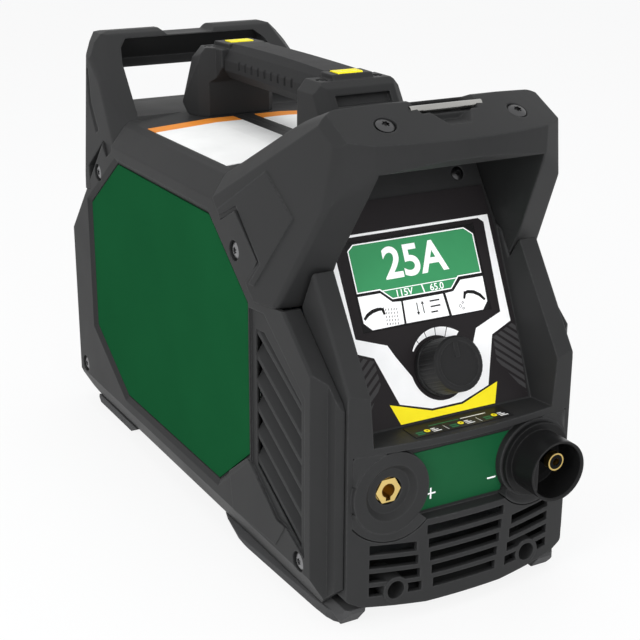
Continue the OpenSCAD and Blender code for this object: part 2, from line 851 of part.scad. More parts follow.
module cord_gland() {
  color([0.08, 0.08, 0.09]) translate([rear_x, 0, 45]) difference() {
    union() {
      along_y(200, 224, 20);
      rotate([90, 0, 0]) translate([0, 0, -222]) cylinder(h = 4.9, d = 28, $fn = 6);
      rotate([90, 0, 0]) translate([0, 0, -213.9]) cylinder(h = 5, d = 28, $fn = 6);
      along_y(222, 229, 22, 17);
    }
    along_y(190, 240, 11);
  }
}

module air_inlet() {
  color([0.76, 0.60, 0.30]) translate([rear_x, 0, 95]) difference() {
    union() {
      along_y(200.1, 222, 14);
      rotate([90, 0, 0]) translate([0, 0, -222]) cylinder(h = 4.9, d = 21, $fn = 6);
      along_y(221, 231, 11);
      for (i = [0 : 2])
        translate([0, 3 * i, 0]) along_y(223.4, 225.8, 11.9, 11);
    }
    along_y(190, 240, 7);
  }
}

module air_regulator() {
  color([0.30, 0.32, 0.34]) {
    translate([rear_x - 15, 168, 82]) cube([30, 32, 26]);
    translate([rear_x, 184, 50]) cylinder(h = 33, d = 24);
    translate([rear_x, 184, 107]) cylinder(h = 8, d = 16);
  }
}

module air_valve() {
  color([0.24, 0.24, 0.26]) {
    translate([rear_x - 11, 112, 84]) cube([22, 30, 22]);
    translate([rear_x, 127, 105]) cylinder(h = 26, d = 18);
    translate([rear_x, 0, 95]) along_y(141, 167.9, 10);
  }
}

module air_line() {
  color([0.18, 0.28, 0.55]) translate([rear_x, 0, 95]) difference() {
    along_y(-175.8, 111.9, 8);
    along_y(-180, 120, 5);
  }
}

// ---------------------------------------------------------------- power switch

rocker_at = [rear_x, 215, 142];

module switch_body() {
  color([0.07, 0.07, 0.08]) translate(rocker_at) difference() {
    union() {
      translate([-15, 2.1, -16]) cube([30, 2, 32]);
      translate([-12.7, -16, -13.7]) cube([25.4, 18.5, 27.4]);
      for (z = [-8, 0, 8])
        translate([-4, -24, z - 0.4]) cube([8, 9, 0.8]);
    }
    translate([-10.2, -8.5, -11.6]) cube([20.4, 20, 23.2]);
    rotate([0, 90, 0]) cylinder(h = 24, d = 3.1, center = true, $fn = 32);
  }
}

module power_rocker() {
  color([0.72, 0.10, 0.08]) translate(rocker_at) rotate([-10, 0, 0]) {
    prism_x([[-5, -5], [3, -9.8], [6.4, -9.8], [4.4, 0], [6.4, 9.8], [3, 9.8], [-5, 5]],
      -9.9, 9.9);
    rotate([0, 90, 0]) cylinder(h = 23.4, d = 3, center = true, $fn = 32);
  }
}

// ---------------------------------------------------------------- cooling fan

module fan_frame() {
  h = fan_size / 2;
  color([0.10, 0.10, 0.11]) translate(fan_at) difference() {
    union() {
      difference() {
        translate([-h, -12.5, -h]) cube([fan_size, 25, fan_size]);
        along_y(-13, 13, fan_size - 5);
      }
      intersection() {
        along_y(8.5, 12.5, fan_size - 4);
        union() {
          along_y(8.5, 12.5, 32);
          for (a = [45, 135, 225, 315])
            rotate([0, a, 0]) translate([-2.5, 8.5, 0]) cube([5, 4, fan_size / 2]);
        }
      }
      along_y(-4, 9, 10);
    }
    along_y(-14, 11, fan_shaft_d + 0.1);
    for (x = [-1, 1])
      for (z = [-1, 1])
        translate([x * fan_screw_pitch / 2, 0, z * fan_screw_pitch / 2])
          along_y(-14, 14, 4.2);
  }
}

module fan_rotor() {
  color([0.13, 0.13, 0.14]) translate(fan_at) {
    difference() {
      along_y(-11.5, 7.5, 32);
      along_y(-8.5, 8, 28);
    }
    along_y(-9, 10.5, fan_shaft_d);
    intersection() {
      difference() {
        along_y(-11, 7, fan_size - 7);
        along_y(-12, 8, 31);
      }
      for (i = [0 : blade_count - 1])
        rotate([0, i * 360 / blade_count, 0]) rotate([0, 0, 42])
          translate([-14, -0.9, 10]) cube([28, 1.8, 40]);
    }
  }
}

module fan_screws() {
  color([0.50, 0.50, 0.52])
    for (x = [-1, 1])
      for (z = [-1, 1])
        translate([fan_at.x + x * fan_screw_pitch / 2, rear_panel_y + 5.9,
          fan_at.z + z * fan_screw_pitch / 2])
          rotate([-90, 0, 0]) pan_screw(7.6, 2.8, 4, 22);
}

// ---------------------------------------------------------------- electronics

module main_board() {
  color([0.10, 0.34, 0.16]) difference() {
    union() {
      translate([-70, -132, 20]) cube([140, 292, 1.6]);
      for (i = [0 : 3])
        translate([-12, -120 + 12 * i, 21.5]) cube([16, 8, 6]);
      for (i = [0 : 2])
        translate([30, -126 + 16 * i, 21.5]) cube([12, 10, 18]);
    }
    for (x = [-62, 62])
      for (y = [-120, 150])
        translate([x, y, 10]) cylinder(h = 20, d = 3.4);
  }
}

module heatsinks() {
  color([0.68, 0.69, 0.71])
    for (x = [-68, -30]) {
      translate([x, -40, 21.7]) cube([34, 100, 8]);
      for (i = [0 : fin_count - 1])
        translate([x + i * (34 - 1.8) / (fin_count - 1), -40, 29]) cube([1.8, 100, 68]);
    }
}

module transformer_core() {
  color([0.20, 0.20, 0.22]) translate([-26, 76, 21.7]) difference() {
    cube([64, 44, 52]);
    for (x = [11, 39])
      translate([x, -1, 11]) cube([14, 46, 30]);
  }
}

module transformer_winding() {
  color([0.72, 0.40, 0.18]) translate([-26, 76, 21.7]) difference() {
    translate([11.5, -9, 11.5]) cube([41, 62, 29]);
    translate([24.6, -0.4, 10]) cube([14.8, 44.8, 32]);
  }
}

module output_choke() {
  color([0.70, 0.38, 0.16]) translate([4, -66, 46.6]) rotate([90, 0, 0])
    rotate_extrude($fn = 48) translate([16, 0]) circle(r = 9, $fn = 24);
  color([0.20, 0.20, 0.22]) translate([-16, -73, 21.7]) cube([40, 14, 3.6]);
}

module bulk_capacitors() {
  color([0.12, 0.16, 0.30])
    for (i = [0 : cap_count - 1])
      translate([-52 + 2 * i, -58 - 32 * i, 21.7]) cylinder(h = 50, d = 28);
}

// ---------------------------------------------------------------- handle

// Front post: leaning front, chamfered corners and top.
module front_post() {
  intersection() {
    prism_x([[-96.4, 281], [-61.3, top_z + 0.5], [-53, top_z + 0.5], [-53, 312],
      [-72.5, 312], [-78.5, 308.4], [-85.9, 297.5]], -40, 40);
    front_post_plan();
    prism_y([[-33.2, 240], [33.2, 240], [post_x, 305], [26.3, post_z], [-26.3, post_z],
      [-post_x, 305]], -150, 150);
  }
}

// Plan of the front post: its chamfers run along the leaning front.
module front_post_plan() {
  difference() {
    translate([-post_x - 1, -120, 240]) cube([2 * post_x + 2, 67, 90]);
    both_sides() beyond([-25, -78.5, 308.4], [-5.8, -6.6, 4.4]);
  }
}

// Rear post: flared towards the back, leaning inwards above its widest point.
module rear_post() {
  difference() {
    intersection() {
      prism_x([[98.5, top_z + 0.1], [116.3, top_z + 0.1], [122, 270], [122, 301],
        [115, 311.5], [84, 312], [84, 299], [98.5, 286]], -40, 40);
      translate([0, 0, 240]) linear_extrude(90) polygon([[-21, 80], [21, 80], [21, 94],
        [25.3, 98.5], [31, 104.5], [37, 122.1], [-37, 122.1], [-31, 104.5],
        [-25.3, 98.5], [-21, 94]]);
    }
    both_sides() {
      beyond([-36.8, 122, 270], [-540, 70, 144]);
      beyond([-28.5, 122, 301.5], [-8, 2, 5.6]);
    }
  }
}

// Top line of the handle at the position y, almost straight.
function grip_top(y) = grip_z - 0.0002 * pow(y - 20, 2);

module grip_envelope(low, top, half) {
  ys = [for (i = [0 : 12]) -52.9 + i * 12];
  intersection() {
    prism_x(concat([[92, low], [-52.9, low]], [for (y = ys) [y, grip_top(y) - top]]),
      -half, half);
    prism_y([[-half + 5, low - 1], [half - 5, low - 1], [half, low + 6], [half, grip_z - 12],
      [half - 3.5, grip_z - 5], [half - 9, grip_z + 1], [9 - half, grip_z + 1],
      [3.5 - half, grip_z - 5], [-half, grip_z - 12], [-half, low + 6]], -60, 100);
  }
}

module handle_body() {
  color([0.18, 0.18, 0.19]) difference() {
    union() {
      front_post();
      rear_post();
      translate([-10, -56, 296]) cube([20, 150, 11]);
      prism_x([[-70.5, 311.5], [-53, 311.5], [-53, 315.4], [-67.5, 315.2]], -15, 15);
      prism_x([[84, 311.5], [111, 311], [108.5, 315.2], [84, 315.6]], -15, 15);
    }
    for (y = insert_at)
      translate([-9.4, y - 5.8, 313]) cube([18.8, 11.6, 8]);
    for (p = handle_screw_at)
      for (m = [-1, 1])
        translate([m * p.x, p.y, 311.9]) screw_pocket(8.6, 2.2, 4.2, 20);
    intersection() {
      prism_x([[-98, 297.8], [-80, 297.8], [-76, 304.2], [-94, 304.2]], -20.4, 20.4);
      beyond([0, -81.6, 297.8], [0, -10.9, 7.4]);
    }
    for (x = [-26, 10])
      translate([x, -72, 264]) cube([16, 10, 30]);
  }
}

module handle_grip() {
  color([0.09, 0.09, 0.10]) difference() {
    grip_envelope(291, 0, grip_w / 2);
    translate([-10.1, -60, 295.9]) cube([20.2, 160, 11.2]);
    translate([-40, 83.9, 280]) cube([80, 28.1, 50]);
    for (i = [0 : 8])
      both_sides() translate([-grip_w / 2 - 0.6, -22 + i * 10, 300]) cube([1.4, 3, 9]);
  }
}

module handle_inserts() {
  color([0.93, 0.80, 0.10])
    for (y = insert_at)
      translate([0, y, 313.1]) difference() {
        prism_x([[-5.6, 0], [5.6, 0], [5.6, 2.2], [4.8, 3], [-4.8, 3], [-5.6, 2.2]], -9.2, 9.2);
        translate([-4.6, -1.4, 1.8]) cube([9.2, 2.8, 3]);
      }
}

// ---------------------------------------------------------------- labels, screws

// Height of the casing top at the distance x from the middle.
function top_line(x) = top_z - (top_z - crease_z - 2.4) * max(0, x - 30) / 50;

// Two plain plates on the top, bent over the edge of the flat middle.
module top_labels() {
  color([0.92, 0.92, 0.90]) both_sides()
    prism_y([[-78.5, top_line(78.5) + 0.05], [-30, top_z + 0.05], [-9, top_z + 0.05],
      [-9, top_z + 0.45], [-30, top_z + 0.45], [-78.5, top_line(78.5) + 0.45]], -42, 91);
}

module hood_screws() {
  color([0.05, 0.05, 0.05]) {
    both_sides() translate(hood_screw_at) rotate([27.7, 0, 0]) pan_screw(11.5, 2.8, 4, 14);
    on_panel(recess_screw_at.x, recess_screw_at.y, 1.2) pan_screw(8.6, 2.4, 3, 0.2);
  }
}

module side_screws() {
  color([0.05, 0.05, 0.05]) both_sides()
    for (p = side_screw_at)
      translate([-side_x + 0.3, p.x, p.y]) rotate([0, -90, 0]) pan_screw(11.5, 2.6, 4, 13);
}

module handle_screws() {
  color([0.05, 0.05, 0.05]) both_sides()
    for (p = handle_screw_at)
      translate([p.x, p.y, 311.8]) pan_screw(8, 1.9, 4, 14);
}

left_casing();
right_casing();
left_panel();
right_panel();
front_hood();
rear_hoop();
front_fascia();
rear_panel();
base_tray();
feet();
handle_body();
handle_grip();
handle_inserts();
hood_rod();
control_overlay();
display_glass();
display_module();
control_board();
encoder_body();
encoder_sleeve();
encoder_shaft();
control_knob();
info_strip();
connector_label();
work_socket();
torch_collar();
torch_insulator();
torch_contact();
fan_frame();
fan_rotor();
main_board();
heatsinks();
transformer_core();
transformer_winding();
output_choke();
bulk_capacitors();
terminal_block();
air_inlet();
air_regulator();
air_valve();
air_line();
cord_gland();
switch_body();
power_rocker();
top_labels();
hood_screws();
side_screws();
handle_screws();
fan_screws();
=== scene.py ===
"""Portable plasma cutting power source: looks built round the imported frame."""

import math

import bmesh
import bpy
from mathutils import Matrix, Vector


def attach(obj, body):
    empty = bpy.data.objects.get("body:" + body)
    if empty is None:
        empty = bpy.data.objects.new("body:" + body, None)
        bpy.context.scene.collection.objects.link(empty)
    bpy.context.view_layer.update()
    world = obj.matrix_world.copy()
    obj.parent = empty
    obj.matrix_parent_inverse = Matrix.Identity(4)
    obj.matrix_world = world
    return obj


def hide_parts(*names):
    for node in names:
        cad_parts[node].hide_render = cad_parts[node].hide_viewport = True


MM = 0.001

# Sizes of the front in millimetres. SOCKET_X, SOCKET_Z and DISC_Y are those of the
# part's source; the others are set here for the surrounds.
SOCKET_X, SOCKET_Z = 53, 89.4
DISC_R, SURROUND_R = 26.4, 31.6
DISC_Y, SURROUND_BACK_Y = -209.5, -204.2
FLANK_REACH, LEDGE_REACH = 25.7, 27.3
FRONT_Y, FRONT_CURVE = -213.4, 0.00119

# Places in metres that finishes change at.
CONTACT_X, CONTACT_Z, CONTACT_FRONT_Y = 0.0527, 0.095, -0.2305
# Radius of the painted shade inside the torch contact's bore.
CONTACT_SHADE_R = 0.0048
ORANGE_FROM_Y = 0.0755

# Corners sharper than BLUNT get the tight rounding; flatter than FAINT get none.
FAINT, BLUNT = math.radians(14), math.radians(62)

# Share of plain white that the floor shows to rays that look at the backdrop.
FLOOR_WHITE = 0.86
WORLD_STRENGTH = 0.62

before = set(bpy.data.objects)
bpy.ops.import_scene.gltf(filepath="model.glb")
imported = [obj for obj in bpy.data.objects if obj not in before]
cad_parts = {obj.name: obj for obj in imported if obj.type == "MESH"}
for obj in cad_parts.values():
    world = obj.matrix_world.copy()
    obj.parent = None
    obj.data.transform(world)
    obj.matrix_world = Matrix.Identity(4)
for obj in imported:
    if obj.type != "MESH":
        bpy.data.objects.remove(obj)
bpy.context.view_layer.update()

# ------------------------------------------------------------------ camera


def place_camera():
    """Camera in front of the left corner, a little above the hood, looking slightly down."""
    azimuth, elevation = math.radians(-28.65), math.radians(19.17)
    data = bpy.data.cameras.new("studio_camera")
    data.lens = 76.795
    data.sensor_width = 36
    data.shift_x = 0.0289
    data.shift_y = -0.0192
    data.clip_start = 0.05
    camera = bpy.data.objects.new("studio_camera", data)
    camera.location = (-0.4522, -0.8272, 0.4619)
    camera.rotation_euler = (math.pi / 2 - elevation, 0, azimuth)
    bpy.context.scene.collection.objects.link(camera)
    bpy.context.scene.camera = camera


place_camera()

# ------------------------------------------------------------------ materials


class Finish:
    """One node-based finish, built up step by step on object coordinates in metres."""

    def __init__(self, name, colour, roughness, metallic=0.0, specular=0.5):
        self.material = bpy.data.materials.new(name)
        self.material.use_nodes = True
        self.tree = self.material.node_tree
        self.shader = self.tree.nodes["Principled BSDF"]
        self.shader.inputs["Metallic"].default_value = metallic
        self.shader.inputs["Specular IOR Level"].default_value = specular
        self.place = self.add("ShaderNodeTexCoord").outputs["Object"]
        self.colour = self.rgb(colour)
        self.roughness = self.number(roughness)
        self.normal = None

    def add(self, kind, **values):
        node = self.tree.nodes.new(kind)
        for key, value in values.items():
            setattr(node, key, value)
        return node

    def join(self, output, socket):
        self.tree.links.new(output, socket)

    def rgb(self, colour):
        node = self.add("ShaderNodeRGB")
        node.outputs[0].default_value = (*colour, 1)
        return node.outputs[0]

    def number(self, value):
        node = self.add("ShaderNodeValue")
        node.outputs[0].default_value = value
        return node.outputs[0]

    def noise(self, scale, detail=2.0, stretch=(1, 1, 1)):
        """Noise with that many cells to the metre."""
        mapping = self.add("ShaderNodeMapping")
        mapping.inputs["Scale"].default_value = stretch
        self.join(self.place, mapping.inputs["Vector"])
        node = self.add("ShaderNodeTexNoise")
        node.inputs["Scale"].default_value = scale
        node.inputs["Detail"].default_value = detail
        self.join(mapping.outputs[0], node.inputs["Vector"])
        return node.outputs["Fac"]

    def spread(self, value, low, high, to_low, to_high):
        node = self.add("ShaderNodeMapRange")
        for socket, number in zip(("From Min", "From Max", "To Min", "To Max"),
                                  (low, high, to_low, to_high)):
            node.inputs[socket].default_value = number
        self.join(value, node.inputs["Value"])
        return node.outputs[0]

    def math(self, operation, a, b):
        node = self.add("ShaderNodeMath", operation=operation)
        for socket, value in zip(node.inputs, (a, b)):
            if isinstance(value, (int, float)):
                socket.default_value = value
            else:
                self.join(value, socket)
        return node.outputs[0]

    def tint(self, mask, colour):
        """Mixes another colour in where the mask is high."""
        node = self.add("ShaderNodeMix", data_type="RGBA")
        self.join(mask, node.inputs["Factor"])
        self.join(self.colour, node.inputs[6])
        self.join(colour if not isinstance(colour, tuple) else self.rgb(colour), node.inputs[7])
        self.colour = node.outputs[2]
        return self

    def mottle(self, scale, share):
        """Slow change of shade and gloss over the surface."""
        slow = self.noise(scale, 3.0)
        shade = self.add("ShaderNodeHueSaturation")
        self.join(self.spread(slow, 0.3, 0.7, 1 - share, 1 + share), shade.inputs["Value"])
        self.join(self.colour, shade.inputs["Color"])
        self.colour = shade.outputs[0]
        gloss = self.spread(slow, 0.3, 0.7, -share / 2, share / 2)
        self.roughness = self.math("ADD", self.roughness, gloss)
        return self

    def round_edges(self, radius):
        """Edges shaded as if slightly rounded; grain added later builds on the same normal."""
        node = self.add("ShaderNodeBevel", samples=6)
        node.inputs["Radius"].default_value = radius
        self.normal = node.outputs[0]
        return self

    def wear_and_highlight(self, colour, reach, amount):
        """Paler edges, broken up by noise: partly rubbed wear, partly a painted highlight along
        the edges.
        """
        wide = self.add("ShaderNodeBevel", samples=6)
        wide.inputs["Radius"].default_value = reach
        flat = self.add("ShaderNodeNewGeometry").outputs["True Normal"]
        dot = self.add("ShaderNodeVectorMath", operation="DOT_PRODUCT")
        self.join(wide.outputs[0], dot.inputs[0])
        self.join(flat, dot.inputs[1])
        edge = self.spread(dot.outputs["Value"], 0.99, 0.82, 0.0, 1.0)
        broken = self.spread(self.noise(420, 4.0), 0.35, 0.65, 0.35, 1.0)
        mask = self.math("MULTIPLY", self.math("MULTIPLY", edge, broken), amount)
        return self.tint(mask, colour)

    def grain(self, scale, depth, strength=0.5, stretch=(1, 1, 1), detail=2.0):
        """Fine relief: depth in metres."""
        node = self.add("ShaderNodeBump")
        node.inputs["Strength"].default_value = strength
        node.inputs["Distance"].default_value = depth
        self.join(self.noise(scale, detail, stretch), node.inputs["Height"])
        if self.normal is not None:
            self.join(self.normal, node.inputs["Normal"])
        self.normal = node.outputs[0]
        return self

    def done(self):
        self.join(self.colour, self.shader.inputs["Base Color"])
        self.join(self.roughness, self.shader.inputs["Roughness"])
        if self.normal is not None:
            self.join(self.normal, self.shader.inputs["Normal"])
        return self.material


def moulding(name, colour, roughness=0.52, edge=0.0012):
    """Injection-moulded ABS with a spark-eroded grain."""
    finish = Finish(name, colour, roughness, specular=0.14)
    # Edges tinted paler: partly rubbed wear, partly a painted highlight along the edges.
    finish.mottle(28, 0.07).wear_and_highlight(tuple(c * 2.3 + 0.012 for c in colour), 0.0018, 0.6)
    finish.round_edges(edge).grain(1500, 0.00012, 0.42, detail=3.0)
    return finish.done()


def sheet_paint(name, colour):
    """Satin paint on sheet metal, with a faint orange peel."""
    finish = Finish(name, colour, 0.5, specular=0.0)
    finish.mottle(14, 0.05).round_edges(0.0005).grain(650, 0.00006, 0.25)
    return finish.done()


def bare_metal(name, colour, roughness, stretch=(1, 1, 1), scale=900):
    """Metal with brush or turning marks along one direction."""
    finish = Finish(name, colour, roughness, metallic=1.0)
    finish.mottle(60, 0.08).round_edges(0.0004).grain(scale, 0.00005, 0.35, stretch)
    return finish.done()


def soft_rubber(name, colour):
    """Matt over-moulded rubber with a fine pebbled skin."""
    finish = Finish(name, colour, 0.62, specular=0.16)
    # Edges tinted paler: partly rubbed wear, partly a painted highlight along the edges.
    finish.mottle(35, 0.08).wear_and_highlight(tuple(c * 1.6 + 0.006 for c in colour), 0.0012, 0.4)
    finish.round_edges(0.0012).grain(1900, 0.00018, 0.5, detail=1.0)
    return finish.done()


def print_ink(name, colour, roughness=0.42, glow=0.0):
    """Screen ink on the film: a trace of mesh texture; glow where it is lit from behind."""
    finish = Finish(name, colour, roughness, specular=0.08)
    finish.mottle(90, 0.02).grain(3200, 0.00002, 0.2)
    finish.shader.inputs["Emission Color"].default_value = (*colour, 1)
    finish.shader.inputs["Emission Strength"].default_value = glow
    return finish.done()


def contact_face():
    """Brass contact with painted shade, near black, inside its rim where the bore lies in shadow.
    """
    finish = Finish("contact_brass", (0.60, 0.44, 0.15), 0.36, metallic=1.0)
    split = finish.add("ShaderNodeSeparateXYZ")
    finish.join(finish.place, split.inputs[0])
    across = finish.math("SUBTRACT", split.outputs["X"], CONTACT_X)
    upward = finish.math("SUBTRACT", split.outputs["Z"], CONTACT_Z)
    square = finish.math("ADD", finish.math("MULTIPLY", across, across),
                         finish.math("MULTIPLY", upward, upward))
    within = finish.math("LESS_THAN", square, CONTACT_SHADE_R ** 2)
    front = finish.math("LESS_THAN", split.outputs["Y"], CONTACT_FRONT_Y)
    finish.mottle(60, 0.08).round_edges(0.0004).grain(900, 0.00005, 0.35)
    # Painted shade: near black inside the rim, over the shaded bore.
    finish.tint(finish.math("MULTIPLY", within, front), (0.008, 0.008, 0.008))
    return finish.done()


def label_stock():
    """White vinyl with an orange strip across its rear end."""
    finish = Finish("label_vinyl", (0.88, 0.88, 0.865), 0.45, specular=0.1)
    split = finish.add("ShaderNodeSeparateXYZ")
    finish.join(finish.place, split.inputs[0])
    band = finish.math("GREATER_THAN", split.outputs["Y"], ORANGE_FROM_Y)
    finish.tint(band, (0.79, 0.27, 0.04))
    finish.mottle(45, 0.03).grain(2600, 0.00002, 0.25)
    return finish.done()


shell = moulding("shell_plastic", (0.0225, 0.0227, 0.023))
hood_shell = moulding("hood_plastic", (0.0225, 0.0227, 0.023), edge=0.0022)
fascia_shell = moulding("fascia_plastic", (0.0245, 0.0247, 0.025), edge=0.0014)
materials = {
    "left_casing": shell,
    "right_casing": shell,
    "front_hood": hood_shell,
    "rear_hoop": hood_shell,
    "front_fascia": fascia_shell,
    "handle_body": moulding("handle_plastic", (0.021, 0.0212, 0.0215), edge=0.0018),
    "handle_grip": soft_rubber("grip_rubber", (0.0175, 0.0175, 0.018)),
    # Paler than the casing plastic: painted light that lifts the undercut foot out of its shade.
    "feet": soft_rubber("foot_rubber", (0.055, 0.055, 0.056)),
    "handle_inserts": moulding("insert_yellow", (0.82, 0.70, 0.02), 0.4, 0.0006),
    "control_overlay": print_ink("overlay_film", (0.0185, 0.0165, 0.0175), 0.38),
    "info_strip": print_ink("strip_film", (0.016, 0.0155, 0.016), 0.4),
    "display_glass": print_ink("display_window", (0.014, 0.0135, 0.014), 0.22),
    "control_knob": moulding("knob_plastic", (0.014, 0.014, 0.0143), 0.45, 0.0007),
    "torch_collar": moulding("collar_plastic", (0.009, 0.009, 0.0092), 0.34, 0.0008),
    "torch_insulator": moulding("insulator_plastic", (0.004, 0.004, 0.004), 0.5, 0.0004),
    "cord_gland": moulding("gland_nylon", (0.020, 0.020, 0.021), 0.45, 0.0006),
    "switch_body": moulding("switch_plastic", (0.018, 0.018, 0.019), 0.35, 0.0006),
    "power_rocker": moulding("rocker_red", (0.52, 0.03, 0.02), 0.32, 0.0006),
    "fan_frame": moulding("fan_plastic", (0.018, 0.018, 0.019), 0.42, 0.0006),
    "fan_rotor": moulding("rotor_plastic", (0.022, 0.022, 0.023), 0.42, 0.0004),
    "air_regulator": moulding("regulator_nylon", (0.09, 0.10, 0.11), 0.45, 0.0006),
    "air_valve": moulding("valve_nylon", (0.07, 0.08, 0.09), 0.45, 0.0006),
    "air_line": soft_rubber("hose_blue", (0.03, 0.08, 0.26)),
    "terminal_block": moulding("terminal_plastic", (0.42, 0.40, 0.35), 0.5, 0.0005),
    "bulk_capacitors": moulding("capacitor_sleeve", (0.03, 0.05, 0.14), 0.3, 0.0005),
    "transformer_core": moulding("ferrite", (0.07, 0.07, 0.08), 0.6, 0.0005),
    "left_panel": sheet_paint("panel_green", (0.0083, 0.076, 0.0262)),
    "right_panel": sheet_paint("panel_green_right", (0.0083, 0.076, 0.0262)),
    "connector_label": print_ink("label_green", (0.0077, 0.083, 0.030), 0.45),
    "base_tray": sheet_paint("tray_grey", (0.10, 0.104, 0.108)),
    "rear_panel": sheet_paint("rear_panel_grey", (0.12, 0.124, 0.128)),
    "display_module": print_ink("module_board", (0.03, 0.16, 0.06)),
    "control_board": print_ink("control_board_green", (0.03, 0.16, 0.06)),
    "main_board": print_ink("main_board_green", (0.03, 0.16, 0.06)),
    "top_labels": label_stock(),
    "hood_rod": bare_metal("rod_steel", (0.40, 0.395, 0.38), 0.24, (0.05, 1, 1), 1400),
    "work_socket": bare_metal("socket_brass", (0.74, 0.55, 0.20), 0.34),
    "torch_contact": contact_face(),
    "air_inlet": bare_metal("inlet_brass", (0.66, 0.46, 0.15), 0.36),
    "encoder_body": bare_metal("encoder_metal", (0.55, 0.55, 0.57), 0.4),
    "encoder_sleeve": bare_metal("sleeve_metal", (0.55, 0.55, 0.57), 0.4),
    "encoder_shaft": bare_metal("shaft_metal", (0.55, 0.55, 0.57), 0.35),
    "heatsinks": bare_metal("sink_aluminium", (0.62, 0.63, 0.65), 0.45, (1, 0.05, 1)),
    "transformer_winding": bare_metal("winding_copper", (0.62, 0.26, 0.10), 0.4),
    "output_choke": bare_metal("choke_copper", (0.62, 0.26, 0.10), 0.4),
    "hood_screws": bare_metal("hood_screw_steel", (0.095, 0.095, 0.097), 0.4),
    "side_screws": bare_metal("side_screw_steel", (0.24, 0.24, 0.245), 0.38),
    "handle_screws": bare_metal("handle_screw_steel", (0.10, 0.10, 0.102), 0.42),
    "fan_screws": bare_metal("fan_screw_zinc", (0.45, 0.46, 0.48), 0.4),
}
for name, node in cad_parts.items():
    node.data.materials.clear()
    node.data.materials.append(materials[name])

# ------------------------------------------------------------------ rounded mouldings


def keep_piece(mesh, name, material, body="housing"):
    """Puts a finished mesh in the scene, riding on its body and in its material slot."""
    mesh.materials.append(material)
    piece = bpy.data.objects.new(name, mesh)
    bpy.context.scene.collection.objects.link(piece)
    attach(piece, body)
    return piece


def fillet_planes(edge, radius, steps):
    """Planes that touch a rounding of that radius along a convex edge."""
    first, second = (face.normal.copy() for face in edge.link_faces)
    start = edge.verts[0].co.copy()
    middle = start - radius * (first + second) / (1 + first.dot(second))
    planes = []
    for i in range(steps):
        share = (i + 0.5) / steps
        normal = first.slerp(second, share).normalized()
        planes.append((middle + radius * normal, normal))
    return planes


def stays_local(form, edge, planes, reach):
    """True where the planes take nothing away but the strip beside the edge."""
    start = edge.verts[0].co
    run = (edge.verts[1].co - start).normalized()
    for point, normal in planes:
        for vert in form.verts:
            if (vert.co - point).dot(normal) > 1e-6:
                offset = vert.co - start
                if (offset - run * offset.dot(run)).length > reach:
                    return False
    return True


def cut_corner(form, planes):
    """The form with the planes' far side taken off and closed, or as it was if that fails."""
    trial = form.copy()
    for point, normal in planes:
        every = trial.verts[:] + trial.edges[:] + trial.faces[:]
        done = bmesh.ops.bisect_plane(trial, geom=every, dist=1e-7, plane_co=point,
                                      plane_no=normal, clear_outer=True)
        rim = [g for g in done["geom_cut"] if isinstance(g, bmesh.types.BMEdge) and g.is_boundary]
        if rim:
            bmesh.ops.triangle_fill(trial, edges=rim, use_beauty=True, normal=normal)
    sound = all(edge.is_manifold for edge in trial.edges)
    kept, spare = (trial, form) if sound else (form, trial)
    spare.free()
    return kept


def soften(name, wide, tight, shortest, free=None):
    """A copy of a moulding with its outer edges rounded: wide over the blunt ones."""
    form = bmesh.new()
    form.from_mesh(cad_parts[name].data)
    bmesh.ops.remove_doubles(form, verts=form.verts, dist=1e-6)
    cuts = []
    for edge in form.edges:
        if not (edge.is_manifold and edge.is_convex) or edge.calc_length() < shortest:
            continue
        angle = edge.calc_face_angle()
        if angle < FAINT or (free and not free(edge)):
            continue
        radius = wide if angle < BLUNT else tight
        planes = fillet_planes(edge, radius, 6 if radius > 0.005 else 4)
        reach = radius * math.tan(angle / 2) * 1.15 + 0.0004
        if stays_local(form, edge, planes, reach):
            cuts.append(planes)
    for planes in cuts:
        form = cut_corner(form, planes)
    for face in form.faces:
        face.smooth = False
    mesh = bpy.data.meshes.new(name + "_rounded")
    form.to_mesh(mesh)
    form.free()
    piece = keep_piece(mesh, name + "_rounded", materials[name])
    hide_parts(name)
    return piece


def shoulder(edge):
    """Edges of the hood clear of its seam with the casings and of its crown."""
    away = min(vert.co.y for vert in edge.verts) < -0.062
    away = away and max(vert.co.z for vert in edge.verts) > 0.2
    return away and min(abs(vert.co.x) for vert in edge.verts) > 0.058


def clear_of_seam(edge):
    """Edges of the rear hoop that don't meet the casings."""
    return max(vert.co.z for vert in edge.verts) > 0.263


def outside(edge):
    """Edges on the casings' outer side, clear of the parting line and of the ends."""
    return min(abs(vert.co.x) for vert in edge.verts) > 0.03


